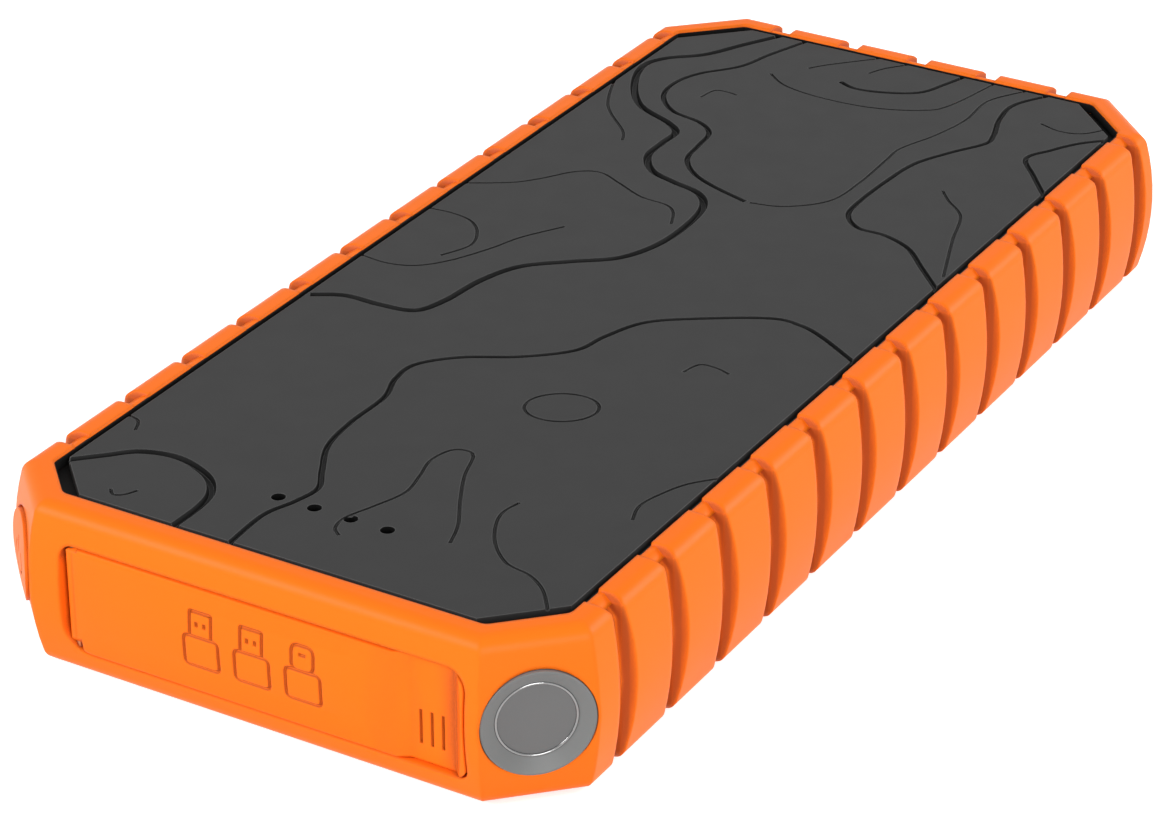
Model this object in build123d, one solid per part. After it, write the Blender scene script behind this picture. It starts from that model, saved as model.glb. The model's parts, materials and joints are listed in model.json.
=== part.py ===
from build123d import *
import os
from math import cos, radians, sin, sqrt, tan

# A rugged power bank: an orange rubber bumper round a black two-part housing with dark covers.
# Millimetres. +X across, +Y along, from the port door to the far end, +Z up.
# The origin is the centre of the footprint, at the height of the surface it lies on.
# "Depth" and "inset" are measured inwards from the widest outline, at mid height.

# ---- Envelope ----
BODY_WIDTH = 81.1
BODY_LENGTH = 175.2
BODY_HEIGHT = 22.0
EDGE_BULGE = 1.7        # how far the walls bow out at mid height
EDGE_ROUND = 2.2        # rounding of the top and bottom edges
TORCH_CORNER = 9.9      # leg of each corner's flat
BUTTON_CORNER = 8.6
FAR_CORNER = 10.3
RIM = 4.9               # inset of the openings for the covers
RIM_CORNER_ROUND = 1.6

# ---- Grooves of the bumper ----
RIB_PITCH = 12.0
SIDE_GROOVE_SHIFT = 0.8     # the middle groove of a side lies this far towards +Y
END_RIB_PITCH = 11.2
GROOVE_MARGIN = 4.0     # least length of wall beside the outermost grooves
GROOVE_WIDTH = 2.4
GROOVE_LEAN = 24.0      # draft of the grooves' walls, in degrees
GROOVE_DEPTH_TOP = 1.0
GROOVE_DEPTH_SIDE = 1.7
GROOVE_FLOOR_BEVEL = 1.8

# ---- Housing inside the bumper ----
LIP = 1.8               # thickness of the bumper's lips over and under the housing
WALL_OUT = 3.75         # inset of the bumper's inner wall
SHELL_FIT = 0.2
SHELL_WALL = 1.6
SHELL_FLOOR = 1.5
COVER_THICKNESS = 1.55
COVER_GAP = 1.0
COVER_CORNER_EXTRA = 1.3

# ---- Seal between the shells ----
SEAL_INSET = 0.35       # from the shells' outer face
SEAL_WIDTH = 0.9
SEAL_HEIGHT = 1.2
SEAL_START = 14.9       # from the door end

# ---- Lamps under the top cover ----
LED_PITCH = 5.1
LED_COUNT = 4
LED_ROW_INSET = 17.3    # from the door end
LED_HOLE_R = 0.9
LED_SIZE = (1.6, 0.8, 0.6)
PIPE_WIDTH = 1.3
PIPE_GAP = 0.2          # between a lamp and its light pipe

# ---- Port door ----
DOOR_INSETS = (13.3, 12.05)     # from the body's left and right sides
DOOR_BOTTOM = 3.65
DOOR_TOP_INSET = 4.35
DOOR_GAP = 0.3
DOOR_RADII = (3.6, 1.6, 2.4, 1.4)   # lower left, upper left, upper right, lower right
DOOR_BACK = 3.5         # depth of the door's flat back
DOOR_LEDGE = 1.6        # width of the ledge that the door closes on
SCOOP_WIDTH = 10.6      # finger scoop
SCOOP_MARGIN = 0.2      # from the door's right edge
SCOOP_DEPTH = 1.6
SCOOP_RAMP = 3.0
RAMP_LENGTH = 4.05      # beside the hinge the door's face falls away
RAMP_DROP = 0.9
GRIP_COUNT = 3
GRIP_PITCH = 1.5
GRIP_INSET = 5.0        # from the door's right edge
GRIP_RISE = 4.55        # above the door's lower edge
GRIP_LENGTH = 4.6
GRIP_WIDTH = 0.4
GRIP_DEPTH = 0.35

# ---- Door's hinge, plug and seal ----
PIN_R = 0.4
PIN_BORE_FIT = 0.06
PIN_SEATS = (0.3, 0.8)      # how far the pin reaches under and over the door
BARREL_R = 0.9
BARREL_SET = 0.3        # from the door's left edge to its barrel
BARREL_DEPTH = 1.4
SWING_FIT = 0.15        # between the door's hinge end, a quarter turn open, and its recess
RELIEF_WIDTH = 1.1      # from the hinge's axis, how much of the door is cut back for that
CORE_PLATE = 1.0        # thickness of the core let into the door's back
PLUG_REACH = 2.1        # how far the plug stands out of the door's back
PLUG_GAP = 0.9
PLUG_WALL = 1.3
RING_GAP = 0.4
RING_WIDTH = 0.8
RING_DEPTH = (4.4, 5.3)

# ---- Port panel and sockets ----
PANEL_DEPTH = 8.3
PANEL_THICKNESS = 1.8
COLLAR_WALL = 1.2
USB_A_SIZE = (13.1, 13.6, 5.8)
USB_A_TONGUE = (11.1, 9.6, 1.9)
TONGUE_DROP = 0.6       # from a USB-A shell's roof to its tongue
USB_C_SIZE = (8.94, 7.4, 3.2)
USB_C_TONGUE = (6.7, 5.2, 0.7)
SOCKET_MARGIN = 2.0     # from the right side of the housing's mouth to the first socket
SOCKET_SPACING = 3.0    # between sockets
SOCKET_WALL = 0.3
SOCKET_BACK = 2.2
SOCKET_FIT = 0.15

# ---- Main board ----
BOARD_THICKNESS = 1.2
BOARD_INSETS = (2.75, 2.0)      # from the door's left and right edges
BOARD_LENGTH = 22.0
BOARD_GAP = 0.2         # behind the port panel
COLUMN_INSETS = (3.0, 2.9)      # from the board's side edges and from its far edge
COLUMN_SIZE = 4.0
CHIPS = ((-11.0, 5.4, 6.0, 1.2), (-2.0, 6.4, 5.0, 1.0), (11.0, 4.9, 4.0, 1.4))
COIL_X = -3.0
COIL_SIZE = (9.0, 9.0, 4.6)
COIL_GAP = 0.3          # behind the sockets

# ---- Cells ----
CELL_SIDE_GAP = 3.0     # between the cells and the shells' inner faces
CELL_END_GAP = 8.75
CELL_EDGE = 1.6
PAD_THICKNESS = 0.4
PAD_MARGIN = 4.0
TAB_SIZE = (6.0, 4.0, 0.2)
TAB_X = 14.0
GUARD_SIZE = (48.0, 1.2, 11.0)      # protection board
GUARD_GAP = 2.4         # behind the main board
GUARD_POST = (4.0, 4.0, 5.0)
GUARD_POST_INSET = 4.0  # from the ends of the protection board

# ---- Torch, as radii and depths under its corner's flat ----
TORCH_FACE = 0.2
TORCH_EDGE = 0.2        # width of the ring's flat edge, round its dished face
TORCH_FLANGE_R = 6.8
TORCH_FLANGE_END = 1.8
TORCH_NECK_R = 5.3
TORCH_FIT = 0.1
TORCH_LENS_R = 4.8
TORCH_LENS_DEPTH = (1.2, 2.4)
TORCH_BORE_R = 4.85
REFLECTOR_END = 5.2
REFLECTOR_MOUTH_R = 4.4
REFLECTOR_THROAT_R = 1.8
TORCH_BOARD = (6.6, 6.6, 0.8)
SLEEVE_END = 6.0
TORCH_LED = (2.2, 2.2, 0.6)
SLEEVE_R = 6.0

# ---- Power button, as radii and depths under its corner's flat ----
BUTTON_RISE = 1.0       # above mid height
BUTTON_R = 5.6
BUTTON_FIT = 0.3
BUTTON_PROUD = 0.4
BUTTON_FLANGE_R = 6.6
BUTTON_FLANGE_DEPTH = (2.15, 3.05)
BUTTON_RECESS_END = 4.3
BUTTON_TRAVEL = 0.5
PLUNGER_R = 1.5
PLUNGER_END = 5.7
SWITCH_SLACK = 0.05     # left between plunger and switch when the button is fully in
SWITCH_STEM = (1.0, 0.3)
SWITCH_SIZE = (4.4, 4.4, 1.5)
SWITCH_BOARD = (7.2, 10.0, 0.8)
SWITCH_RIB = (6.0, 4.6, 2.2)

# ---- Derived ----
HALF_W = BODY_WIDTH / 2
HALF_L = BODY_LENGTH / 2
MID_Z = BODY_HEIGHT / 2
SEAT = WALL_OUT + SHELL_FIT             # inset of the shells' outer face
INSIDE = SEAT + SHELL_WALL              # inset of the shells' inner face
HOUSING_TOP = BODY_HEIGHT - LIP
ROOM_BOTTOM = LIP + SHELL_FLOOR
ROOM_TOP = HOUSING_TOP - SHELL_FLOOR
COVER_TOP = HOUSING_TOP + COVER_THICKNESS
LED_ROW_Y = -HALF_L + LED_ROW_INSET
DOOR_LEFT = -HALF_W + DOOR_INSETS[0]
DOOR_RIGHT = HALF_W - DOOR_INSETS[1]
DOOR_TOP = BODY_HEIGHT - DOOR_TOP_INSET
AXIS_X = DOOR_LEFT + BARREL_SET + BARREL_R
AXIS_Y = -HALF_L + BARREL_DEPTH
PANEL_Y = -HALF_L + PANEL_DEPTH
USB_C_X = DOOR_RIGHT - DOOR_LEDGE - SOCKET_MARGIN - USB_C_SIZE[0] / 2
USB_A_RIGHT_X = USB_C_X - USB_C_SIZE[0] / 2 - SOCKET_SPACING - USB_A_SIZE[0] / 2
USB_A_XS = (USB_A_RIGHT_X - SOCKET_SPACING - USB_A_SIZE[0], USB_A_RIGHT_X)
BOARD_LEFT = DOOR_LEFT + BOARD_INSETS[0]
BOARD_RIGHT = DOOR_RIGHT - BOARD_INSETS[1]
BOARD_NEAR_Y = PANEL_Y + PANEL_THICKNESS + BOARD_GAP
BOARD_FAR_Y = BOARD_NEAR_Y + BOARD_LENGTH
BOARD_Z = (DOOR_BOTTOM + DOOR_TOP + USB_A_SIZE[2]) / 2
BOARD_TOP = BOARD_Z + BOARD_THICKNESS
GUARD_Y = BOARD_FAR_Y + GUARD_GAP + GUARD_SIZE[1] / 2
CELL_NEAR_Y = GUARD_Y + GUARD_SIZE[1] / 2 + TAB_SIZE[1]
CELL_FAR_Y = HALF_L - INSIDE - CELL_END_GAP
CELL_WIDTH = 2 * (HALF_W - INSIDE - CELL_SIDE_GAP)
CELL_THICKNESS = (ROOM_TOP - ROOM_BOTTOM - 3 * PAD_THICKNESS) / 2
BUTTON_Z = MID_Z + BUTTON_RISE
SWITCH_TOP = PLUNGER_END + BUTTON_TRAVEL + SWITCH_SLACK
SWITCH_BODY = SWITCH_TOP + SWITCH_STEM[1]
SWITCH_BACK = SWITCH_BODY + SWITCH_SIZE[2]

# ---- Directions that the walls and corner flats face, in degrees from +X ----
RIGHT, FAR, LEFT, NEAR = 0, 90, 180, 270
FAR_RIGHT, FAR_LEFT, BUTTON_SIDE, TORCH_SIDE = 45, 135, 225, 315


# ---- Outlines and simple bodies ----
def corner_legs(inset, extra=0.0):
    """Legs of the corner flats, on the outline drawn in by inset."""
    loss = inset * (2 - sqrt(2))
    return [leg - loss + extra for leg in (TORCH_CORNER, FAR_CORNER, FAR_CORNER, BUTTON_CORNER)]


def outline(inset, corner_round=0.0, extra=0.0):
    """The eight-sided plan of the body, drawn in by inset."""
    x = HALF_W - inset
    y = HALF_L - inset
    torch, far_right, far_left, button = corner_legs(inset, extra)
    points = [
        (x - torch, -y), (x, -y + torch),
        (x, y - far_right), (x - far_right, y),
        (-x + far_left, y), (-x, y - far_left),
        (-x, -y + button), (-x + button, -y),
    ]
    face = make_face(Polyline(*points, close=True))
    if corner_round > 0:
        face = fillet(face.vertices(), corner_round)
    return face


def prism(sketch, low, high):
    """A plan extruded from one height to another."""
    return extrude(Pos(0, 0, low) * sketch, high - low)


def block(xs, ys, zs):
    """A box between two limits on each axis."""
    size = [high - low for low, high in (xs, ys, zs)]
    middle = [(low + high) / 2 for low, high in (xs, ys, zs)]
    return Pos(*middle) * Box(*size)


def centred(middle, size):
    return (middle - size / 2, middle + size / 2)


def post(x, y, radius, low, high):
    """An upright cylinder."""
    return Pos(x, y, (low + high) / 2) * Cylinder(radius, high - low)


def end_prism(sketch, near, far):
    """A shape drawn in X and Z on the door end, between two depths."""
    return extrude(Plane.XZ.offset(HALF_L - far) * sketch, far - near)


def corner_plane(side, leg, height):
    """On a near corner's flat, facing out, with Y up: side is 1 on the right and -1 on the left."""
    origin = (side * (HALF_W - leg / 2), -(HALF_L - leg / 2), height)
    return Plane(origin=origin, x_dir=(1, side, 0), z_dir=(side, -1, 0))


TORCH_PLANE = corner_plane(1, TORCH_CORNER, MID_Z)
BUTTON_PLANE = corner_plane(-1, BUTTON_CORNER, BUTTON_Z)


def round_bar(plane, radius, near, far):
    """A cylinder square to a corner's flat, between two depths."""
    return plane * (Pos(0, 0, -(near + far) / 2) * Cylinder(radius, far - near))


def funnel(plane, near_radius, far_radius, near, far):
    """A cone's frustum square to a corner's flat, between two depths."""
    return plane * (Pos(0, 0, -(near + far) / 2) * Cone(far_radius, near_radius, far - near))


def square_bar(plane, width, height, near, far):
    """A rectangular bar square to a corner's flat, between two depths."""
    return plane * (Pos(0, 0, -(near + far) / 2) * Box(width, height, far - near))


# ---- Bumper ----
def wall_profile(half, height=BODY_HEIGHT, lift=0.0, edge_round=EDGE_ROUND):
    """Cross-section with bowed sides and rounded corners, in the sketch's X and Y."""
    foot = half - EDGE_BULGE
    top = lift + height
    side = ThreePointArc((foot, lift), (half, lift + height / 2), (foot, top))
    other = ThreePointArc((-foot, top), (-half, lift + height / 2), (-foot, lift))
    over = Line((foot, top), (-foot, top))
    under = Line((-foot, lift), (foot, lift))
    face = make_face(Curve() + [side, over, other, under])
    return fillet(face.vertices(), edge_round)


def wall_plane(direction):
    """Upright plane whose X points out of the wall that faces direction."""
    turn = radians(direction)
    return Plane(origin=(0, 0, 0), x_dir=(cos(turn), sin(turn), 0), z_dir=(sin(turn), -cos(turn), 0))


def beyond(direction, reach):
    """All that lies outside the bowed wall which faces direction at that reach."""
    keep = Pos(reach - HALF_W, 0) * wall_profile(HALF_W)
    outside = Pos(reach + HALF_W / 4, MID_Z) * Rectangle(HALF_W, 2 * BODY_HEIGHT) - keep
    return extrude(wall_plane(direction) * outside, BODY_LENGTH, both=True)


def corner_reach(leg):
    """Distance from the body's centre to a corner flat with that leg."""
    return (HALF_W + HALF_L - leg) / sqrt(2)


def envelope():
    """The whole body without grooves or openings."""
    body = prism(outline(-1), 0, BODY_HEIGHT)
    walls = [
        (RIGHT, HALF_W), (FAR, HALF_L), (LEFT, HALF_W), (NEAR, HALF_L),
        (TORCH_SIDE, corner_reach(TORCH_CORNER)), (FAR_RIGHT, corner_reach(FAR_CORNER)),
        (FAR_LEFT, corner_reach(FAR_CORNER)), (BUTTON_SIDE, corner_reach(BUTTON_CORNER)),
    ]
    for direction, reach in walls:
        body = body - beyond(direction, reach)
    return body


def groove_core(reach):
    """What stays solid under a groove, seen along the wall: flat over and under, bevelled to the side."""
    low = GROOVE_DEPTH_TOP
    high = BODY_HEIGHT - GROOVE_DEPTH_TOP
    inner = reach - 2 * RIM
    edge = reach - EDGE_BULGE / 2 - GROOVE_DEPTH_SIDE
    section = Polyline(
        (inner, low), (edge - GROOVE_FLOOR_BEVEL, low), (edge, low + GROOVE_FLOOR_BEVEL),
        (reach - GROOVE_DEPTH_SIDE, MID_Z), (edge, high - GROOVE_FLOOR_BEVEL),
        (edge - GROOVE_FLOOR_BEVEL, high), (inner, high), close=True)
    return extrude(Plane.XZ * make_face(section), 2 * GROOVE_WIDTH, both=True)


def groove(direction, reach, along):
    """A groove with leaning walls round one wall; along is its place, towards +X or +Y."""
    half = GROOVE_WIDTH / 2
    spread = tan(radians(GROOVE_LEAN))
    side = half + spread * (GROOVE_DEPTH_SIDE + 1)
    over = half + spread * (GROOVE_DEPTH_TOP + 1)
    low = GROOVE_DEPTH_TOP
    high = BODY_HEIGHT - GROOVE_DEPTH_TOP
    inner = reach - RIM - 1
    floor = reach - GROOVE_DEPTH_SIDE
    plan = Polyline(
        (inner, half), (floor, half), (reach + 1, side),
        (reach + 1, -side), (floor, -half), (inner, -half), close=True)
    end = Polyline(
        (half, low), (half, high), (over, BODY_HEIGHT + 1), (-over, BODY_HEIGHT + 1),
        (-half, high), (-half, low), (-over, -1), (over, -1), close=True)
    cutter = extrude(make_face(plan), BODY_HEIGHT) + extrude(Plane.YZ.offset(inner) * make_face(end), RIM + 2)
    shift = (0, along, 0) if direction in (RIGHT, LEFT) else (along, 0, 0)
    return Pos(*shift) * Rot(0, 0, direction) * (cutter - groove_core(reach))


def spread(count, pitch):
    """Places of a row of equal steps, centred on zero."""
    return [pitch * (number - (count - 1) / 2) for number in range(count)]


def groove_row(wall, pitch):
    """Places of as many grooves as a wall of that length takes."""
    return spread(int((wall - 2 * GROOVE_MARGIN) / pitch) + 1, pitch)


def groove_places():
    """Direction, reach and place along the wall of each groove."""
    sides = groove_row(BODY_LENGTH - TORCH_CORNER - FAR_CORNER, RIB_PITCH)
    end = groove_row(BODY_WIDTH - 2 * FAR_CORNER, END_RIB_PITCH)
    right = [(RIGHT, HALF_W, along + SIDE_GROOVE_SHIFT) for along in sides]
    left = [(LEFT, HALF_W, along + SIDE_GROOVE_SHIFT) for along in sides]
    return right + left + [(FAR, HALF_L, along) for along in end]


def bumper():
    frame = envelope() - prism(outline(RIM, RIM_CORNER_ROUND), 0, BODY_HEIGHT)
    frame = frame - [groove(*place) for place in groove_places()]
    frame = frame - prism(outline(WALL_OUT), LIP, HOUSING_TOP)
    frame = frame - end_prism(door_outline(DOOR_GAP), -1, WALL_OUT + 0.5) - hinge_pin()
    frame = frame - round_bar(TORCH_PLANE, TORCH_FLANGE_R + TORCH_FIT, -1, TORCH_FLANGE_END)
    frame = frame - round_bar(TORCH_PLANE, TORCH_NECK_R + TORCH_FIT, TORCH_FLANGE_END, WALL_OUT + 1)
    frame = frame - round_bar(BUTTON_PLANE, BUTTON_R + BUTTON_FIT, -1, BUTTON_FLANGE_DEPTH[0])
    recess_r = BUTTON_FLANGE_R + BUTTON_FIT
    return frame - round_bar(BUTTON_PLANE, recess_r, BUTTON_FLANGE_DEPTH[0], BUTTON_RECESS_END)


# ---- Covers ----
def cover(low, high):
    return prism(outline(RIM + COVER_GAP, extra=COVER_CORNER_EXTRA), low, high)


def top_cover():
    plate = cover(HOUSING_TOP, COVER_TOP)
    places = spread(LED_COUNT, LED_PITCH)
    return plate - [post(x, LED_ROW_Y, LED_HOLE_R, HOUSING_TOP - 1, COVER_TOP + 1) for x in places]


# ---- Housing ----
def room():
    return prism(outline(INSIDE), ROOM_BOTTOM, ROOM_TOP)


def housing():
    """Both shells as one closed body."""
    outer = prism(outline(SEAT), LIP, HOUSING_TOP)
    body = outer - room()
    for x in spread(2, GUARD_SIZE[0] - 2 * GUARD_POST_INSET):
        ys = centred(GUARD_Y, GUARD_POST[1])
        body = body + block(centred(x, GUARD_POST[0]), ys, (LIP, LIP + GUARD_POST[2]))
    body = body + end_prism(door_outline(COLLAR_WALL - DOOR_LEDGE), SEAT, PANEL_DEPTH)
    body = body + (round_bar(TORCH_PLANE, SLEEVE_R, SEAT, SLEEVE_END) & outer)
    body = body + switch_rib()
    body = body - end_prism(door_outline(-DOOR_LEDGE), 0, PANEL_DEPTH)
    body = body - round_bar(TORCH_PLANE, TORCH_BORE_R, 0, SLEEVE_END)
    body = body - round_bar(BUTTON_PLANE, PLUNGER_R + BUTTON_FIT, 0, PLUNGER_END)
    body = body - light_pipes()
    return body - [protection_board(), switch_board(), housing_seal()]


def columns(low, high):
    """Square columns that clamp the main board's far corners; its sockets carry its near edge."""
    side, end = COLUMN_INSETS
    ys = centred(BOARD_FAR_Y - end, COLUMN_SIZE)
    return [block(centred(x, COLUMN_SIZE), ys, (low, high)) for x in (BOARD_LEFT + side, BOARD_RIGHT - side)]


def upper_shell(both):
    half = both & block((-HALF_W, HALF_W), (-HALF_L, HALF_L), (MID_Z, BODY_HEIGHT))
    return half + columns(BOARD_TOP, HOUSING_TOP)


def lower_shell(both):
    half = both & block((-HALF_W, HALF_W), (-HALF_L, HALF_L), (0, MID_Z))
    return half + columns(LIP, BOARD_Z)


def housing_seal():
    """Sealing cord in the seam, along both sides and the far end."""
    outer = outline(SEAT + SEAL_INSET)
    inner = outline(SEAT + SEAL_INSET + SEAL_WIDTH)
    ring = prism(outer - inner, *centred(MID_Z, SEAL_HEIGHT))
    return ring & block((-HALF_W, HALF_W), (-HALF_L + SEAL_START, HALF_L), (0, BODY_HEIGHT))


# ---- Port door ----
def door_outline(grow=0.0):
    """The door's outline in X and Z, grown outwards."""
    left = DOOR_LEFT - grow
    right = DOOR_RIGHT + grow
    low = DOOR_BOTTOM - grow
    high = DOOR_TOP + grow
    corners = ((left, low), (left, high), (right, high), (right, low))
    face = make_face(Polyline(*corners, close=True))
    for corner, radius in zip(corners, DOOR_RADII):
        if radius + grow > 0:
            face = fillet(face.vertices().sort_by_distance((*corner, 0))[0], radius + grow)
    return face


def scoop():
    """Finger scoop over the whole height of the door: ramped on the left, sloped on the right."""
    face_y = -HALF_L
    floor_y = face_y + SCOOP_DEPTH
    right = DOOR_RIGHT - SCOOP_MARGIN
    left = right - SCOOP_WIDTH
    plan = Polyline(
        (left, face_y), (left + SCOOP_RAMP, floor_y), (right - SCOOP_DEPTH, floor_y),
        (right, face_y), (right, face_y - 1), (left, face_y - 1), close=True)
    return extrude(make_face(plan), BODY_HEIGHT)


def grips():
    """Upright slots in the scoop's floor."""
    floor_y = -HALF_L + SCOOP_DEPTH
    zs = centred(DOOR_BOTTOM + GRIP_RISE, GRIP_LENGTH)
    middle = DOOR_RIGHT - GRIP_INSET
    return [
        block(centred(middle + x, GRIP_WIDTH), (floor_y - 1, floor_y + GRIP_DEPTH), zs)
        for x in spread(GRIP_COUNT, GRIP_PITCH)
    ]


def hinge_ramp():
    """Wedge taken off the door's face beside the hinge."""
    face_y = -HALF_L
    start = DOOR_LEFT + RAMP_LENGTH
    plan = Polyline(
        (start, face_y), (DOOR_LEFT, face_y + RAMP_DROP),
        (DOOR_LEFT, face_y - 1), (start, face_y - 1), close=True)
    return extrude(make_face(plan), BODY_HEIGHT)


def turned_recess():
    """The door's recess as its hinge end meets it a quarter turn open, seen along X."""
    section = Pos(AXIS_Y - AXIS_X, 0) * door_outline(DOOR_GAP - SWING_FIT)
    return extrude(Plane.YZ * section, HALF_W, both=True)


def port_door():
    """The door follows the body's outer surface; left of the hinge pin only its barrel is left."""
    outer = end_prism(door_outline(), -1, DOOR_BACK) - beyond(NEAR, HALF_L)
    flap = outer - hinge_ramp() - scoop() - grips()
    flap = flap & block((AXIS_X, HALF_W), (-HALF_L, 0), (0, BODY_HEIGHT))
    flap = flap + (post(AXIS_X, AXIS_Y, BARREL_R, DOOR_BOTTOM, DOOR_TOP) & outer)
    hinge_end = block((-HALF_W, AXIS_X + RELIEF_WIDTH), (-HALF_L, 0), (0, BODY_HEIGHT))
    flap = flap - (hinge_end - turned_recess())
    flap = flap - post(AXIS_X, AXIS_Y, PIN_R + PIN_BORE_FIT, 0, BODY_HEIGHT)
    return flap - end_prism(plug_outline(), DOOR_BACK - CORE_PLATE, DOOR_BACK + 1)


def plug_outline(inset=0.0):
    return door_outline(-DOOR_LEDGE - PLUG_GAP - inset)


def door_core():
    """Hard plate in the door's back with a plug rim that enters the housing's mouth."""
    end = DOOR_BACK + PLUG_REACH
    core = end_prism(plug_outline(), DOOR_BACK - CORE_PLATE, end)
    return core - end_prism(plug_outline(PLUG_WALL), DOOR_BACK, end + 1) - door_seal()


def door_seal():
    outer = door_outline(-DOOR_LEDGE - RING_GAP)
    inner = door_outline(-DOOR_LEDGE - RING_GAP - RING_WIDTH)
    return end_prism(outer - inner, *RING_DEPTH)


def hinge_pin():
    return post(AXIS_X, AXIS_Y, PIN_R, DOOR_BOTTOM - PIN_SEATS[0], DOOR_TOP + PIN_SEATS[1])


# ---- Port panel, sockets and main board ----
def usb_a_box(x, grow=0.0):
    width, length, height = USB_A_SIZE
    return block(
        centred(x, width + 2 * grow), (PANEL_Y - grow, PANEL_Y + length + grow),
        (BOARD_Z - height - grow, BOARD_Z + grow))


def usb_c_box(grow=0.0):
    """USB-C shell's outer shape: a bar with fully rounded sides."""
    width, length, height = USB_C_SIZE
    section = SlotOverall(width + 2 * grow, height + 2 * grow)
    section = Pos(USB_C_X, BOARD_Z - height / 2) * section
    return end_prism(section, PANEL_DEPTH - max(grow, 0), PANEL_DEPTH + length)


def usb_a_shells():
    back = PANEL_Y + USB_A_SIZE[1]
    shells = []
    for x in USB_A_XS:
        width = USB_A_SIZE[0] - 2 * SOCKET_WALL
        zs = (BOARD_Z - USB_A_SIZE[2] + SOCKET_WALL, BOARD_Z - SOCKET_WALL)
        shells.append(usb_a_box(x) - block(centred(x, width), (PANEL_Y - 1, back + 1), zs))
    return shells


def usb_a_tongues():
    """Insulators: a block in the back of each shell, with the contact tongue in front of it."""
    back = PANEL_Y + USB_A_SIZE[1]
    front = back - SOCKET_BACK
    zs = (BOARD_Z - USB_A_SIZE[2] + SOCKET_WALL, BOARD_Z - SOCKET_WALL)
    width, length, height = USB_A_TONGUE
    tongues = []
    for x in USB_A_XS:
        rear = block(centred(x, USB_A_SIZE[0] - 2 * SOCKET_WALL), (front, back), zs)
        tongue_top = zs[1] - TONGUE_DROP
        tongue_zs = (tongue_top - height, tongue_top)
        tongues.append(rear + block(centred(x, width), (front - length, front), tongue_zs))
    return tongues


def usb_c_inside(near, far):
    width, _, height = USB_C_SIZE
    section = SlotOverall(width - 2 * SOCKET_WALL, height - 2 * SOCKET_WALL)
    return end_prism(Pos(USB_C_X, BOARD_Z - height / 2) * section, near, far)


def usb_c_shell():
    return usb_c_box() - usb_c_inside(PANEL_DEPTH - 1, PANEL_DEPTH + USB_C_SIZE[1] + 1)


def usb_c_tongue():
    width, length, height = USB_C_TONGUE
    back = PANEL_DEPTH + USB_C_SIZE[1]
    front = back - SOCKET_BACK
    rear = usb_c_inside(front, back)
    y = -HALF_L + front
    z = BOARD_Z - USB_C_SIZE[2] / 2
    return rear + block(centred(USB_C_X, width), (y - length, y), centred(z, height))


def port_panel():
    plate = end_prism(door_outline(COLLAR_WALL - DOOR_LEDGE), PANEL_DEPTH, PANEL_DEPTH + PANEL_THICKNESS)
    return plate - [usb_a_box(x, SOCKET_FIT) for x in USB_A_XS] - usb_c_box(SOCKET_FIT)


def main_board():
    return block((BOARD_LEFT, BOARD_RIGHT), (BOARD_NEAR_Y, BOARD_FAR_Y), (BOARD_Z, BOARD_TOP))


def board_chips():
    """Each has its place across, its distance from the board's far edge, its side and its height."""
    return [
        block(centred(x, size), centred(BOARD_FAR_Y - inset, size), (BOARD_TOP, BOARD_TOP + height))
        for x, inset, size, height in CHIPS
    ]


def power_coil():
    width, length, height = COIL_SIZE
    near = PANEL_Y + USB_A_SIZE[1] + COIL_GAP
    return block(centred(COIL_X, width), (near, near + length), (BOARD_Z - height, BOARD_Z))


def status_leds():
    width, depth, height = LED_SIZE
    return [
        block(centred(x, width), centred(LED_ROW_Y, depth), (BOARD_TOP, BOARD_TOP + height))
        for x in spread(LED_COUNT, LED_PITCH)
    ]


def light_pipes():
    """Square rods held by the roof, each between its lamp and its hole in the cover."""
    bottom = BOARD_TOP + LED_SIZE[2] + PIPE_GAP
    return [
        block(centred(x, PIPE_WIDTH), centred(LED_ROW_Y, PIPE_WIDTH), (bottom, HOUSING_TOP))
        for x in spread(LED_COUNT, LED_PITCH)
    ]


# ---- Cells ----
def cell_bottom(number):
    return ROOM_BOTTOM + PAD_THICKNESS + number * (CELL_THICKNESS + PAD_THICKNESS)


def cell(number):
    """Pouch cell, the lower one first."""
    low = cell_bottom(number)
    pouch = block(centred(0, CELL_WIDTH), (CELL_NEAR_Y, CELL_FAR_Y), (low, low + CELL_THICKNESS))
    return chamfer(pouch.edges().filter_by(Axis.Y), CELL_EDGE)


def cell_pads():
    """Foam sheets under, between and over the cells."""
    ys = (CELL_NEAR_Y + PAD_MARGIN, CELL_FAR_Y - PAD_MARGIN)
    tops = [cell_bottom(number) for number in range(3)]
    return [
        block(centred(0, CELL_WIDTH - 2 * PAD_MARGIN), ys, (top - PAD_THICKNESS, top))
        for top in tops
    ]


def protection_board():
    return block(
        centred(0, GUARD_SIZE[0]), centred(GUARD_Y, GUARD_SIZE[1]),
        (ROOM_BOTTOM, ROOM_BOTTOM + GUARD_SIZE[2]))


def cell_tabs():
    tabs = []
    for number in range(2):
        z = cell_bottom(number) + CELL_THICKNESS / 2
        for x in (-TAB_X, TAB_X):
            ys = (CELL_NEAR_Y - TAB_SIZE[1], CELL_NEAR_Y)
            tabs.append(block(centred(x, TAB_SIZE[0]), ys, centred(z, TAB_SIZE[2])))
    return tabs


# ---- Torch ----
def torch_bezel():
    """Ring whose face is dished down to the lens."""
    ring = round_bar(TORCH_PLANE, TORCH_FLANGE_R, TORCH_FACE, TORCH_FLANGE_END)
    ring = ring + round_bar(TORCH_PLANE, TORCH_NECK_R, TORCH_FLANGE_END, SEAT)
    dish = funnel(TORCH_PLANE, TORCH_FLANGE_R - TORCH_EDGE, TORCH_LENS_R, TORCH_FACE, TORCH_LENS_DEPTH[0])
    return ring - dish - round_bar(TORCH_PLANE, TORCH_BORE_R, 0, SEAT)


def torch_lens():
    return round_bar(TORCH_PLANE, TORCH_LENS_R, *TORCH_LENS_DEPTH)


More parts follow.
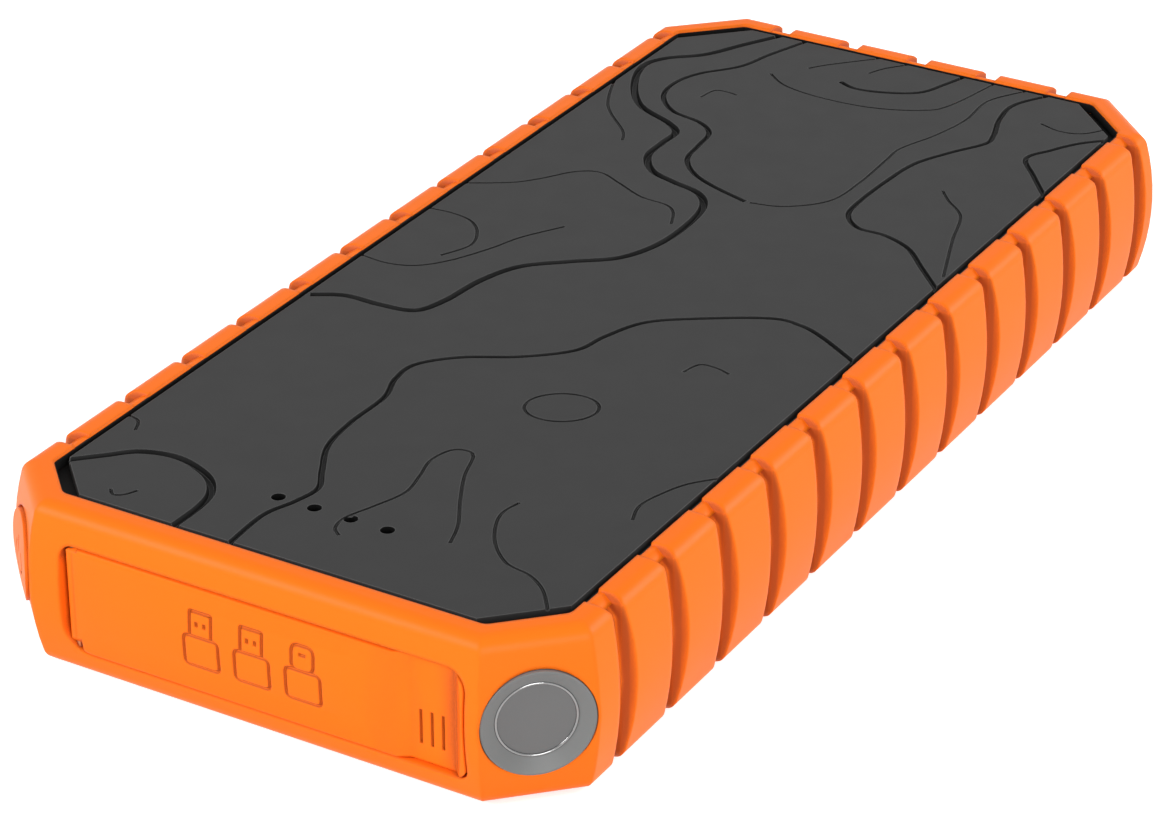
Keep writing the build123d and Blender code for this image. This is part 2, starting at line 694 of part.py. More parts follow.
def torch_reflector():
    mouth = TORCH_LENS_DEPTH[1]
    cup = round_bar(TORCH_PLANE, TORCH_LENS_R, mouth, REFLECTOR_END)
    return cup - funnel(TORCH_PLANE, REFLECTOR_MOUTH_R, REFLECTOR_THROAT_R, mouth, REFLECTOR_END)


def torch_board():
    width, height, thickness = TORCH_BOARD
    return square_bar(TORCH_PLANE, width, height, REFLECTOR_END, REFLECTOR_END + thickness)


def torch_led():
    width, height, depth = TORCH_LED
    return square_bar(TORCH_PLANE, width, height, REFLECTOR_END - depth, REFLECTOR_END)


# ---- Power button ----
def power_button():
    cap = round_bar(BUTTON_PLANE, BUTTON_R, -2, BUTTON_FLANGE_DEPTH[0])
    cap = cap - beyond(BUTTON_SIDE, corner_reach(BUTTON_CORNER) + BUTTON_PROUD)
    cap = cap + round_bar(BUTTON_PLANE, BUTTON_FLANGE_R, *BUTTON_FLANGE_DEPTH)
    return cap + round_bar(BUTTON_PLANE, PLUNGER_R, BUTTON_FLANGE_DEPTH[1], PLUNGER_END)


def button_switch():
    radius, height = SWITCH_STEM
    stem = round_bar(BUTTON_PLANE, radius, SWITCH_TOP, SWITCH_TOP + height)
    return stem + square_bar(BUTTON_PLANE, SWITCH_SIZE[0], SWITCH_SIZE[1], SWITCH_BODY, SWITCH_BACK)


def switch_board():
    width, height, thickness = SWITCH_BOARD
    return square_bar(BUTTON_PLANE, width, height, SWITCH_BACK, SWITCH_BACK + thickness)


def switch_rib():
    """Rib that stands on the floor and holds the switch board's lower edge."""
    width, height, thickness = SWITCH_RIB
    low = LIP - BUTTON_Z
    high = ROOM_BOTTOM + height - BUTTON_Z
    middle = SWITCH_BACK + SWITCH_BOARD[2] / 2
    rib = Pos(0, (low + high) / 2, -middle) * Box(width, high - low, thickness)
    return BUTTON_PLANE * rib


# ---- Assembly ----
def build_parts():
    both_shells = housing()
    return {
        "bumper": bumper(),
        "top_cover": top_cover(),
        "bottom_cover": cover(LIP - COVER_THICKNESS, LIP),
        "upper_shell": upper_shell(both_shells),
        "lower_shell": lower_shell(both_shells),
        "housing_seal": housing_seal(),
        "port_door": port_door(),
        "door_core": door_core(),
        "door_seal": door_seal(),
        "hinge_pin": hinge_pin(),
        "port_panel": port_panel(),
        "usb_a_shells": usb_a_shells(),
        "usb_a_tongues": usb_a_tongues(),
        "usb_c_shell": usb_c_shell(),
        "usb_c_tongue": usb_c_tongue(),
        "main_board": main_board(),
        "board_chips": board_chips(),
        "power_coil": power_coil(),
        "status_leds": status_leds(),
        "light_pipes": light_pipes(),
        "cell_lower": cell(0),
        "cell_upper": cell(1),
        "cell_pads": cell_pads(),
        "cell_tabs": cell_tabs(),
        "protection_board": protection_board(),
        "torch_bezel": torch_bezel(),
        "torch_lens": torch_lens(),
        "torch_reflector": torch_reflector(),
        "torch_led": torch_led(),
        "torch_board": torch_board(),
        "power_button": power_button(),
        "button_switch": button_switch(),
        "switch_board": switch_board(),
    }


os.makedirs("parts", exist_ok=True)
for name, shape in build_parts().items():
    solids = shape if isinstance(shape, list) else [shape]
    group = Compound(children=[solid for item in solids for solid in item.solids()])
    export_step(group, f"parts/{name}.step")
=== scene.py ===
import json
from math import ceil, cos, pi, radians, sin, sqrt

import bmesh
import bpy
from mathutils import Matrix, Vector
from mathutils.geometry import interpolate_bezier


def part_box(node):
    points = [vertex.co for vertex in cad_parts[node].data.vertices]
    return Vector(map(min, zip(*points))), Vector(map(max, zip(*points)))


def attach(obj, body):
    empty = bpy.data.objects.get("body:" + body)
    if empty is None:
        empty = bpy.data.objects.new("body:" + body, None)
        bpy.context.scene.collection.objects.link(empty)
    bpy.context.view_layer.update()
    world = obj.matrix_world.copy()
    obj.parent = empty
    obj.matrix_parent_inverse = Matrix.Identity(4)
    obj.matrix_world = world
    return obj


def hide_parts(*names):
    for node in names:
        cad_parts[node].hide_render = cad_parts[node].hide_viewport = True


MM = 0.001
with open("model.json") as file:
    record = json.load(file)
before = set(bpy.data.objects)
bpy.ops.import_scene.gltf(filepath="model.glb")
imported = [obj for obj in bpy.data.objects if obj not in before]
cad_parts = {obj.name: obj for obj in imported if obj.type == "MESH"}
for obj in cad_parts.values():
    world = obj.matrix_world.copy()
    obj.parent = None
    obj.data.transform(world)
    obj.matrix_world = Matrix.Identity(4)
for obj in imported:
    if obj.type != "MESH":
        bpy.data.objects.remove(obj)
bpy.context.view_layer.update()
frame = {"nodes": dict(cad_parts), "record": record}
nodes = frame["nodes"]
scene = bpy.context.scene


# ---- Materials ----
BEVEL_SAMPLES, SHADE_SAMPLES = 6, 8
TINT_NOISE, GLOSS_NOISE = (90, 4), (240, 3)     # scale and detail
GRAIN_DETAIL = 2
SHADE_REACH = 3                                # mm of surroundings that darken a groove's colour, as painted shade
SHADE_START, SHADE_FULL = 0.99, 0.88          # openness where the painted shade's colour begins, and where it is full
PALING_START, PALING_FULL = 0.998, 0.85             # cosine of the softened normal to the face's own, likewise
PALING_LIFT = 0.02                                # what a paled edge, painted highlight with a little wear, gains in every channel at a rim of 1


class Surface:
    """A Principled material with mottled colour, uneven gloss, fine grain, edges paled as painted highlight
    with a little wear, and grooves darkened as painted shade.
    """

    def __init__(self, name, color, rough, metallic=0.0, edge=0.0, rim=0.0, crease=None, grain=2600,
                 height=0.012, mottle=0.05, uneven=0.08, stretch=(1, 1, 1), **values):
        self.slot = name
        self.material = bpy.data.materials.new(name)
        self.material.use_nodes = True
        self.tree = self.material.node_tree
        self.shader = self.tree.nodes["Principled BSDF"]
        self.shader.inputs["Metallic"].default_value = metallic
        for socket, value in values.items():
            self.shader.inputs[socket.replace("_", " ")].default_value = value
        self.place = self.scaled(stretch)
        shades = [[min(1, part * share) for part in color] + [1] for share in (1 - mottle, 1 + mottle)]
        tint = self.mix(self.noise(*TINT_NOISE), *shades)
        # Painted shade: a darker colour where the surroundings close in, in grooves and creases.
        if crease:
            tint = self.painted_groove_shade(tint, [*crease, 1])
        normal = None
        if edge:
            bevel = self.add("ShaderNodeBevel", samples=BEVEL_SAMPLES)
            bevel.inputs["Radius"].default_value = edge * MM
            normal = bevel.outputs["Normal"]
            # Painted highlight: edges paled in proportion to rim, with a little wear where rim is small.
            if rim:
                pale = [min(1, part * (1 + rim) + PALING_LIFT * rim) for part in color]
                tint = self.worn_and_highlit(normal, tint, [*pale, 1])
        self.tree.links.new(tint, self.shader.inputs["Base Color"])
        gloss = self.add("ShaderNodeMapRange")
        gloss.inputs["To Min"].default_value = rough * (1 - uneven)
        gloss.inputs["To Max"].default_value = rough * (1 + uneven)
        self.tree.links.new(self.noise(*GLOSS_NOISE), gloss.inputs["Value"])
        self.tree.links.new(gloss.outputs["Result"], self.shader.inputs["Roughness"])
        bump = self.add("ShaderNodeBump")
        bump.inputs["Distance"].default_value = height * MM
        self.tree.links.new(self.noise(grain, GRAIN_DETAIL), bump.inputs["Height"])
        if normal:
            self.tree.links.new(normal, bump.inputs["Normal"])
        self.tree.links.new(bump.outputs["Normal"], self.shader.inputs["Normal"])

    def add(self, kind, **settings):
        node = self.tree.nodes.new(kind)
        for name, value in settings.items():
            setattr(node, name, value)
        return node

    def scaled(self, stretch):
        """Object coordinates, stretched where the grain runs one way."""
        coords = self.add("ShaderNodeTexCoord").outputs["Object"]
        mapping = self.add("ShaderNodeMapping")
        mapping.inputs["Scale"].default_value = stretch
        self.tree.links.new(coords, mapping.inputs["Vector"])
        return mapping.outputs["Vector"]

    def noise(self, scale, detail):
        node = self.add("ShaderNodeTexNoise")
        node.inputs["Scale"].default_value = scale
        node.inputs["Detail"].default_value = detail
        self.tree.links.new(self.place, node.inputs["Vector"])
        return node.outputs["Fac"]

    def mix(self, share, first, second):
        node = self.add("ShaderNodeMix", data_type="RGBA")
        self.tree.links.new(share, node.inputs["Factor"])
        for socket, color in ((node.inputs[6], first), (node.inputs[7], second)):
            if isinstance(color, list):
                socket.default_value = color
            else:
                self.tree.links.new(color, socket)
        return node.outputs[2]

    def share(self, value, start, end):
        """How far a value has come from start to end, between 0 and 1."""
        span = self.add("ShaderNodeMapRange")
        span.inputs["From Min"].default_value = start
        span.inputs["From Max"].default_value = end
        self.tree.links.new(value, span.inputs["Value"])
        return span.outputs["Result"]

    def painted_groove_shade(self, tint, dark):
        """A darker colour down in the grooves, painted shade where the surroundings close in."""
        hollow = self.add("ShaderNodeAmbientOcclusion", samples=SHADE_SAMPLES, only_local=True)
        hollow.inputs["Distance"].default_value = SHADE_REACH * MM
        return self.mix(self.share(hollow.outputs["AO"], SHADE_START, SHADE_FULL), tint, dark)

    def worn_and_highlit(self, normal, tint, pale):
        """Paler where the softened normal leaves the face's own, which is along the edges: painted highlight,
        with a little wear.
        """
        dot = self.add("ShaderNodeVectorMath", operation="DOT_PRODUCT")
        self.tree.links.new(normal, dot.inputs[0])
        self.tree.links.new(self.add("ShaderNodeNewGeometry").outputs["Normal"], dot.inputs[1])
        return self.mix(self.share(dot.outputs["Value"], PALING_START, PALING_FULL), tint, pale)


ORANGE = (0.98, 0.175, 0.009)
# Painted shade: the colour the orange rubber takes down in its grooves.
GROOVE_SHADE = (0.5, 0.09, 0.018)
SOFT = {"Specular_IOR_Level": 0.085}
# Moulded orange parts get painted shade in their grooves and a faint painted highlight, with a little wear,
# along their edges.
MOULDED = {"rim": 0.05, "crease": GROOVE_SHADE, "mottle": 0.015, "height": 0.005, **SOFT}
surfaces = [
    Surface("orange_rubber", ORANGE, 0.36, edge=0.8, **MOULDED),
    Surface("orange_door", ORANGE, 0.4, edge=0.35, **MOULDED),
    Surface("orange_button", ORANGE, 0.42, edge=0.3, **MOULDED),
    # The cover's lines are near-black inside as painted shade and paled along their edges as painted
    # highlight.
    Surface("cover_grey", (0.033, 0.033, 0.033), 0.55, edge=0.18, rim=1.4, crease=(0.003, 0.003, 0.003),
            height=0.006, Specular_IOR_Level=0.15),
    Surface("housing_black", (0.008, 0.008, 0.008), 0.6, edge=0.15, **SOFT),
    Surface("core_black", (0.02, 0.02, 0.021), 0.5, edge=0.15),
    Surface("panel_black", (0.016, 0.016, 0.017), 0.5, edge=0.15),
    Surface("seal_rubber", (0.022, 0.022, 0.022), 0.7, edge=0.1),
    Surface("pin_steel", (0.5, 0.22, 0.1), 0.4, metallic=1, stretch=(1, 1, 0.05)),
    Surface("socket_steel", (0.6, 0.6, 0.61), 0.28, metallic=1, stretch=(1, 0.08, 1)),
    Surface("socket_plastic", (0.03, 0.03, 0.032), 0.45, edge=0.1),
    Surface("board_green", (0.02, 0.12, 0.045), 0.35, grain=900, height=0.02, mottle=0.15),
    Surface("chip_black", (0.02, 0.02, 0.02), 0.55, edge=0.1),
    Surface("lamp_white", (0.85, 0.8, 0.55), 0.3),
    Surface("pipe_clear", (0.006, 0.006, 0.007), 0.15),
    Surface("cell_foil", (0.68, 0.69, 0.71), 0.38, metallic=0.9, grain=700, height=0.03, mottle=0.08),
    Surface("foam_grey", (0.1, 0.1, 0.1), 0.9, grain=1500, height=0.08, mottle=0.2),
    Surface("tab_nickel", (0.62, 0.59, 0.52), 0.33, metallic=1, stretch=(1, 0.1, 1)),
    # The bezel's edges are paled a little as painted highlight.
    Surface("bezel_grey", (0.175, 0.179, 0.177), 0.45, edge=0.15, rim=0.2, mottle=0.02,
            Specular_IOR_Level=0.3),
    Surface("lens_frosted", (0.143, 0.143, 0.143), 0.4, edge=0.1, mottle=0.02, Specular_IOR_Level=0.3),
    Surface("lens_edge", (0.26, 0.26, 0.26), 0.15, metallic=1, mottle=0.02),
    Surface("reflector_chrome", (0.85, 0.85, 0.86), 0.12, metallic=1, mottle=0.02),
    Surface("switch_black", (0.03, 0.03, 0.03), 0.5, edge=0.1),
]
materials = {surface.slot: surface.material for surface in surfaces}


def paint(piece, slot):
    piece.data.materials.clear()
    piece.data.materials.append(materials[slot])


for part in frame["record"]["subparts"]:
    paint(nodes[part["node"]], part["material_slot"])


# ---- Places on the faces, in mm ----
low, high = [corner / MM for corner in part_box("bumper")]
MIDDLE = high.z / 2
BULGE = 1.7                                             # of the walls, at half height
ARC = (MIDDLE ** 2 + BULGE ** 2) / (2 * BULGE)          # radius of that bow
TORCH_LEG, FAR_LEG, BUTTON_LEG = 9.9, 10.3, 8.6         # what the corner flats take off each wall
BUTTON_HEIGHT, BUTTON_PROUD = 12.0, 0.4
cover_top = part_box("top_cover")[1].z / MM


def sag(height):
    """How far a bowed wall falls back at a height."""
    return ARC - sqrt(ARC ** 2 - (height - MIDDLE) ** 2)


def on_cover(across, along, out):
    return Vector((across, along, cover_top + out)) * MM


def on_door(across, height, out):
    return Vector((across, low.y + sag(height) - out, height)) * MM


def on_button(across, height, out):
    out = (out + BUTTON_PROUD - sag(height)) / sqrt(2)
    across = across / sqrt(2)
    x = low.x + BUTTON_LEG / 2 + across - out
    y = low.y + BUTTON_LEG / 2 - across - out
    return Vector((x, y, height)) * MM


def on_torch(across, height, out):
    out = out / sqrt(2)
    across = across / sqrt(2)
    x = high.x - TORCH_LEG / 2 + across + out
    y = low.y + TORCH_LEG / 2 + across - out
    return Vector((x, y, height)) * MM


# ---- Contour lines moulded into the top cover, in mm ----
# A stroke is a width and a depth. Each line has its stroke and its points, from the cover's middle.
WIDE, MEDIUM, FINE = (1.2, 0.75), (0.85, 0.55), (0.5, 0.28)
LINES = [
    (WIDE, [(-34.2, -24.4), (-30.1, -22.3), (-24.8, -22.2), (-20, -21.3), (-18.2, -16.9), (-17.3, -9.7),
            (-15, -3.6), (-10.1, 1), (-5, 5.4), (-2.6, 11.8), (-2.3, 19.4), (-3.3, 24.9), (-6, 28.1),
            (-10.7, 29.5), (-14.9, 31.2), (-17.8, 35.2), (-18.2, 40), (-18.3, 43.9), (-20.9, 46.3),
            (-27.2, 49.5), (-31.5, 55.2), (-33.9, 61.7), (-32.5, 66), (-28.1, 70.3), (-24.9, 76.5),
            (-21.2, 83.2)]),
    (WIDE, [(-35.4, -76.6), (-31.3, -72.5), (-28.2, -69.6), (-23.4, -68.5), (-18.2, -70.2), (-15.4, -73),
            (-14.4, -76.6), (-14.4, -82.8)]),
    (MEDIUM, [(-17.2, 83.2), (-19.9, 75.1), (-21.6, 69), (-25.4, 63.8), (-26.9, 59.1), (-26.1, 54.2),
              (-22.4, 50.2), (-17, 48.6), (-14.1, 46), (-13.4, 41.7), (-12.6, 37.1), (-9.7, 33.5),
              (-5.4, 31.1), (1, 28.9)]),
    (FINE, [(1.6, 28.9), (6.4, 30.3), (10.8, 35.1), (11.6, 42.3), (11.4, 50.5), (11.4, 55.1), (13.6, 61.5),
            (15, 68.3), (14.8, 75.4), (16.7, 79.8), (19.2, 83.3)]),
    (MEDIUM, [(22.4, 83.3), (18.8, 77), (19, 71.4), (20.7, 65.7), (20.9, 62.6), (18, 57.4), (15.4, 51.7),
              (14.6, 45.5), (14.3, 37.1), (14.9, 32.4), (17.8, 29.4), (22.1, 29.1), (26.5, 27.1),
              (30.7, 22.7), (35.6, 17.5)]),
    (MEDIUM, [(35.6, -5.8), (28.6, -1.5), (24.6, 0.1), (20.4, -0.1), (12.7, -4.7), (7.2, -9.2),
              (4.7, -15.2), (3.4, -20.4), (-1.7, -25.4), (-8.1, -29.4), (-11.9, -33.9), (-12, -38.3),
              (-10.5, -43.2), (-10.5, -50.7), (-9.6, -56.9), (-6.8, -62.4), (-4.8, -66.2), (-5.4, -70.2),
              (-6.8, -74.9), (-6.4, -82.7)]),
    (FINE, [(-25.9, -78.7), (-24.8, -79.7), (-23.6, -79), (-22.8, -77.4)]),
    (FINE, [(-35.6, -62.8), (-33.1, -63.4), (-31.9, -65.6)]),
    (FINE, [(3.5, -74.2), (2.1, -72.9), (1.8, -70.3), (3.3, -66.2), (4.6, -61.8), (3.9, -57.5), (3, -53.8),
            (3.7, -50.5), (5.3, -49.5), (6.9, -50.3), (8.5, -54.8), (11.2, -60.1), (14.1, -65.2),
            (15.5, -69.2)]),
    (FINE, [(18, -18.7), (18.8, -15.8), (21.2, -15.6), (23.2, -16.3)]),
    (FINE, [(31, -53.9), (30, -50.4), (31, -46.2), (32.5, -42.9), (35.3, -39.6)]),
    (FINE, [(33.4, -76.9), (30.2, -72.8), (27.2, -70.7), (23.3, -69.6), (19.6, -66), (17.1, -60.8),
            (17.5, -57)]),
    (FINE, [(-35.7, 14.2), (-29.7, 17.9), (-26.8, 21.1), (-23.8, 25.5), (-20.7, 27), (-16.9, 25.4),
            (-12.1, 23.1), (-7.9, 22.6), (-5.8, 21), (-4.2, 17.6)]),
    (FINE, [(-35.6, -11.1), (-30.9, -11.6), (-27, -10.3), (-23.9, -6.7), (-21.2, -1), (-19.5, 3.9),
            (-16.1, 9.8)]),
    (FINE, [(-35.6, 5.3), (-31.7, 5.7), (-28, 4.9), (-25.3, 2.3), (-24, -1.6), (-25.8, -6.1)]),
    (FINE, [(-16.6, 69), (-12.7, 66.2), (-6.4, 65), (1.4, 65.5), (8, 68.2), (10.9, 71.9), (13.3, 83.3)]),
    (MEDIUM, [(-6.5, 71.5), (-3.5, 70.4), (0.9, 71.3), (5.2, 73.9), (7, 78.3), (8.6, 83.3)]),
    (FINE, [(-4.3, 76.2), (-3, 79.1), (0.4, 83.3)]),
    (FINE, [(-12.7, 73.4), (-10.6, 76.3), (-4.1, 83.3)]),
    (FINE, [(-21.2, 56.3), (-20.6, 59.5), (-18.6, 59.9), (-17, 59.6)]),
    (FINE, [(24.6, 72.8), (28.2, 71.7), (31.5, 72.8), (34.5, 77.3)]),
    (MEDIUM, [(36, 73), (32.3, 69.4), (29.7, 65.1), (27.9, 61), (31.1, 56.4), (35.5, 50.7)]),
    (FINE, [(22.5, 45.7), (24.6, 43.2), (28.2, 39.5), (30.5, 32.3), (34.3, 21.7)]),
    (FINE, [(-35.3, 56.3), (-31.2, 47.1), (-25.1, 40.7), (-23.4, 37.7)]),
]
OVAL_MIDDLE, OVAL_RADII, OVAL_TURN = Vector((9.7, -34.3)), (4.6, 3.6), 30      # the turn in degrees


# ---- Meshes ----
WELD = 0.001                    # mm between vertices that become one


def joined(count, size, closed=True):
    """Faces from each loop of vertices to the next, where count loops of one size follow each other."""
    faces = []
    for number in range(count if closed else count - 1):
        a, b = size * number, size * ((number + 1) % count)
        faces += [(a + k, a + (k + 1) % size, b + (k + 1) % size, b + k) for k in range(size)]
    return faces


def mesh_of(name, verts, faces):
    mesh = bpy.data.meshes.new(name)
    mesh.from_pydata(verts, [], faces)
    return mesh


def welded(mesh):
    """A copy of a mesh with its split vertices joined and its faces turned outwards."""
    shape = bmesh.new()
    shape.from_mesh(mesh)
    bmesh.ops.remove_doubles(shape, verts=shape.verts, dist=WELD * MM)
    bmesh.ops.recalc_face_normals(shape, faces=shape.faces)
    copy = bpy.data.meshes.new("welded")
    shape.to_mesh(copy)
    shape.free()
    return copy


def placed(name, data):
    """A new object in the scene."""
    made = bpy.data.objects.new(name, data)
    scene.collection.objects.link(made)
    return made


# ---- Engraving ----
CURVE_STEP = 0.6                # mm between the samples of a curve
CORNER_RUN = 0.6                # mm of straight side kept beside a rounded corner
CORNER_BEND = 0.3               # share of a corner's radius at which its arc's middle lies
SHARP_ANGLE = radians(30)


def smooth(points, closed=False):
    """A curve through the points, sampled about every CURVE_STEP."""
    points = [Vector((*point, 0)) for point in points]
    count = len(points)
    line = []
    for number in range(count if closed else count - 1):
        if closed:
            before, start, end, after = (points[(number + step) % count] for step in (-1, 0, 1, 2))
        else:
            before, start = points[max(number - 1, 0)], points[number]
            end, after = points[number + 1], points[min(number + 2, count - 1)]
        steps = max(3, ceil((end - start).length / CURVE_STEP))
        leaving, arriving = start + (end - before) / 6, end - (after - start) / 6
        line += interpolate_bezier(start, leaving, arriving, end, steps + 1)[:-1]
    return line if closed else line + [points[-1]]


def gouge(place, stroke, points, closed=False):
    """A closed bar along a line, narrower at its foot, which stands as high over the face as it is deep."""
    width, depth = stroke
    line = smooth(points, closed)
    count = len(line)
    verts = []
    for number, point in enumerate(line):
        before = line[number - 1] if closed or number else point
        after = line[(number + 1) % count] if closed or number < count - 1 else point
        along = (after - before).normalized()
        side = Vector((-along.y, along.x, 0)) * width / 4
        for shift, out in ((side * 3, depth), (side * -3, depth), (-side, -depth), (side, -depth)):
            corner = point + shift
            verts.append(place(corner.x, corner.y, out))
    faces = joined(count, 4, closed)
    if not closed:
        end = 4 * (count - 1)
        faces += [(3, 2, 1, 0), (end, end + 1, end + 2, end + 3)]
    return mesh_of("gouge", verts, faces)


def carved(node, name, slot, body, cutters):
    """A copy of a CAD node with the cutters taken out of it one by one, shown in its place."""
    piece = placed(name, welded(nodes[node].data))
    for mesh in cutters:
        cutter = placed("cutter", welded(mesh))
        cut = piece.modifiers.new("cut", "BOOLEAN")
        cut.operation, cut.solver, cut.object = "DIFFERENCE", "MANIFOLD", cutter
        bpy.context.view_layer.update()
        result = piece.evaluated_get(bpy.context.evaluated_depsgraph_get())
        made = bpy.data.meshes.new_from_object(result)
        piece.modifiers.clear()
        piece.data = made
        bpy.data.objects.remove(cutter)
    if "custom_normal" in piece.data.attributes:
        piece.data.attributes.remove(piece.data.attributes["custom_normal"])
    piece.data.shade_smooth()
    piece.data.set_sharp_from_angle(angle=SHARP_ANGLE)
    paint(piece, slot)
    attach(piece, body)
    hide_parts(node)


def circle(middle, radii, start=0.0, end=360.0, count=24):
    """Points of an ellipse from one angle to just before another, in degrees."""
    angles = [radians(start + (end - start) * number / count) for number in range(count)]
    return [(middle[0] + radii[0] * cos(angle), middle[1] + radii[1] * sin(angle)) for angle in angles]


def frame_line(left, right, bottom, top, corner):
    """Points of a rectangle with rounded corners, counter-clockwise."""
    far, near = corner + CORNER_RUN, corner * CORNER_BEND
    steps = ((far, 0), (corner, 0), (near, near), (0, corner), (0, far))
    points = []
    for number, (x, y) in enumerate(((right, bottom), (right, top), (left, top), (left, bottom))):
        across, up = -1 if x == right else 1, 1 if y == bottom else -1
        bend = [(x + across * reach, y + up * rise) for reach, rise in steps]
        points += bend[::-1] if number % 2 else bend
    return points


cuts = [gouge(on_cover, stroke, points) for stroke, points in LINES]
turn = Matrix.Rotation(radians(OVAL_TURN), 2)
oval = [OVAL_MIDDLE + turn @ Vector(point) for point in circle((0, 0), OVAL_RADII)]
cuts.append(gouge(on_cover, FINE, oval, True))
carved("top_cover", "cover_relief", "cover_grey", "case", cuts)

# Plugs engraved on the door: two with a pair of upright windows, and one with round corners and a bar.
# Each has a body, a narrower tip over it, and short strokes in the tip, which are from its middle line.
ENGRAVED = (0.5, 0.3)
BODY_HALF, BODY_CORNER, TIP_HALF = 2.4, 0.6, 1.5
FOOT, SHOULDER, TIP = 7.4, 11.5, 14.8
WINDOWS = [[(x, 12.8), (x, 13.5)] for x in (-0.55, 0.55)]
BAR = [[(-0.5, 13.6), (0.5, 13.6)]]
cuts = []
for middle, tip_corner, strokes in ((-7.2, 0.2, WINDOWS), (-0.1, 0.2, WINDOWS), (7.0, 0.8, BAR)):
    for half, foot, head, corner in ((BODY_HALF, FOOT, SHOULDER, BODY_CORNER),
                                     (TIP_HALF, SHOULDER, TIP, tip_corner)):
        outline = frame_line(middle - half, middle + half, foot, head, corner)
        cuts.append(gouge(on_door, ENGRAVED, outline, True))
    for stroke in strokes:
        cuts.append(gouge(on_door, ENGRAVED, [(middle + x, y) for x, y in stroke]))
carved("port_door", "door_relief", "orange_door", "door", cuts)

# Power mark on the button: an arc that is open at the top, and a bar in the opening.
MARK, MARK_RADIUS, MARK_ARC = (0.5, 0.25), 2.1, (130, 410)
arc = circle((0, BUTTON_HEIGHT - 0.2), (MARK_RADIUS, MARK_RADIUS), *MARK_ARC)
bar = [(0, BUTTON_HEIGHT + 0.4), (0, BUTTON_HEIGHT + 2.7)]
carved("power_button", "button_relief", "orange_button", "button",
       [gouge(on_button, MARK, arc), gouge(on_button, MARK, bar)])


# ---- Bright bead round the torch's lens ----
def bead(name, radius, thick, depth, around=96, across=12):
    """A fine ring on the torch's face, at a depth under the corner's flat."""
    verts = []
    for number in range(around):
        turn = 2 * pi * number / around
        for step in range(across):
            roll = 2 * pi * step / across
            reach = radius + thick * cos(roll)
            verts.append(on_torch(reach * cos(turn), MIDDLE + reach * sin(turn), thick * sin(roll) - depth))
    mesh = mesh_of(name, verts, joined(around, across))
    mesh.shade_smooth()
    piece = placed(name, welded(mesh))
    paint(piece, "lens_edge")
    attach(piece, "case")


bead("lens_bead", radius=4.75, thick=0.2, depth=1.2)


# ---- Rings round the cover ----
def ring(name, slot, section):
    """A frame along the rim, whose section's points are an inset from the walls and a height."""
    verts = []
    for inset, height in section:
        left, right, near, far = low.x + inset, high.x - inset, low.y + inset, high.y - inset
        torch, end, button = (leg - inset * (2 - sqrt(2)) for leg in (TORCH_LEG, FAR_LEG, BUTTON_LEG))
        outline = ((right - torch, near), (right, near + torch), (right, far - end), (right - end, far),
                   (left + end, far), (left, far - end), (left, near + button), (left + button, near))
        verts += [Vector((x, y, height)) * MM for x, y in outline]
    piece = placed(name, welded(mesh_of(name, verts, joined(len(section), len(outline)))))
    paint(piece, slot)
    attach(piece, "case")


# The sills close the inner ends of the grooves in the rim, and a thin black sheet along the rim's inner wall
# darkens the gap round the cover as painted shade.
SILL, SILL_FOOT = cover_top - 0.1, cover_top - 0.9
GAP_SHADE, GAP_SHADE_FOOT = cover_top - 0.15, cover_top - 1.45
ring("groove_sills", "orange_rubber", [(2.9, SILL_FOOT), (4.1, SILL), (4.84, SILL), (4.84, SILL_FOOT)])
ring("gap_shade_sheet", "housing_black", [(4.8, GAP_SHADE_FOOT), (4.8, GAP_SHADE), (5.06, GAP_SHADE), (5.06, GAP_SHADE_FOOT)])


# ---- Stage, light and camera ----
FLOOR_TONE, FLOOR_GLOW = 0.8, 0.6
FLOOR_SIZE = 8                                  # metres
AMBIENT, BACKDROP = 0.36, 1.0                   # the world's level as a light, and as it is seen


def pale_to_the_eye(tree):
    """1 for what the camera sees straight, mirrored or through glass, else 0."""
    path = tree.nodes.new("ShaderNodeLightPath")
    seen = path.outputs["Is Camera Ray"]
    for ray in ("Is Glossy Ray", "Is Transmission Ray"):
        larger = tree.nodes.new("ShaderNodeMath")
        larger.operation = "MAXIMUM"
        tree.links.new(seen, larger.inputs[0])
        tree.links.new(path.outputs[ray], larger.inputs[1])
        seen = larger.outputs[0]
    return seen


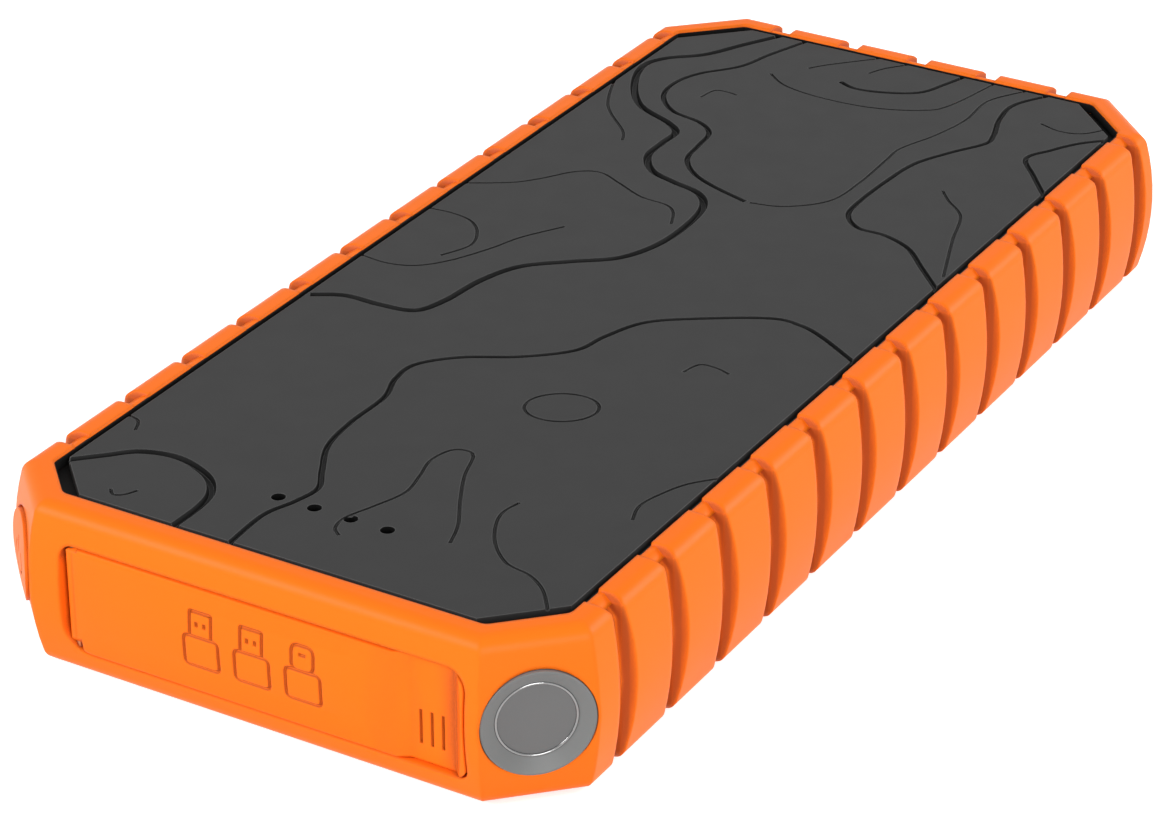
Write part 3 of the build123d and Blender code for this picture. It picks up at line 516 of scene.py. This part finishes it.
def floor_material():
    """Pale floor that reads as white and keeps the object's shadow."""
    material = bpy.data.materials.new("stage")
    material.use_nodes = True
    tree = material.node_tree
    tree.nodes.clear()
    lit = tree.nodes.new("ShaderNodeBsdfDiffuse")
    lit.inputs["Color"].default_value = (FLOOR_TONE, FLOOR_TONE, FLOOR_TONE, 1)
    glow = tree.nodes.new("ShaderNodeEmission")
    level = tree.nodes.new("ShaderNodeMath")
    level.operation = "MULTIPLY"
    level.inputs[1].default_value = FLOOR_GLOW
    tree.links.new(pale_to_the_eye(tree), level.inputs[0])
    tree.links.new(level.outputs[0], glow.inputs["Strength"])
    both = tree.nodes.new("ShaderNodeAddShader")
    out = tree.nodes.new("ShaderNodeOutputMaterial")
    tree.links.new(lit.outputs[0], both.inputs[0])
    tree.links.new(glow.outputs[0], both.inputs[1])
    tree.links.new(both.outputs[0], out.inputs["Surface"])
    return material


bpy.ops.mesh.primitive_plane_add(size=FLOOR_SIZE, location=(0, 0, 0))
floor = bpy.context.object
floor.name = "floor"
floor.data.materials.append(floor_material())

world = bpy.data.worlds.new("studio")
scene.world = world
world.use_nodes = True
sky = world.node_tree.nodes["Background"]
level = world.node_tree.nodes.new("ShaderNodeMapRange")
level.inputs["To Min"].default_value = AMBIENT
level.inputs["To Max"].default_value = BACKDROP
world.node_tree.links.new(pale_to_the_eye(world.node_tree), level.inputs["Value"])
world.node_tree.links.new(level.outputs["Result"], sky.inputs["Strength"])
sky.inputs["Color"].default_value = (1, 1, 1, 1)


def softbox(name, place, size, power):
    """A square lamp that faces the object, with its size in metres and its power in watts."""
    data = bpy.data.lights.new(name, "AREA")
    data.size = size
    data.energy = power
    lamp = placed(name, data)
    lamp.location = place
    lamp.rotation_euler = (-Vector(place)).to_track_quat("-Z", "Y").to_euler()


softbox("key", (-0.6, -0.82, 0.58), 0.45, 8.3)
softbox("side", (0.84, -0.74, 0.44), 0.5, 7.3)
softbox("back", (0.76, 0.81, 0.48), 0.5, 7.3)

# The camera stands where the photo's straight edges, corners and openings put it.
CAMERA_PLACE = (0.2291, -0.4007, 0.2521)
CAMERA_DIP, CAMERA_TURN = 28.352, 30.547        # degrees below the horizon, and round the upright axis
FOCAL_LENGTH, SENSOR_WIDTH = 121.94, 36         # mm
camera = placed("camera", bpy.data.cameras.new("camera"))
camera.location = CAMERA_PLACE
camera.rotation_euler = (radians(90 - CAMERA_DIP), 0, radians(CAMERA_TURN))
camera.data.sensor_width = SENSOR_WIDTH
camera.data.lens = FOCAL_LENGTH
camera.data.clip_start = 0.01
scene.camera = camera
scene.view_settings.view_transform = "Standard"
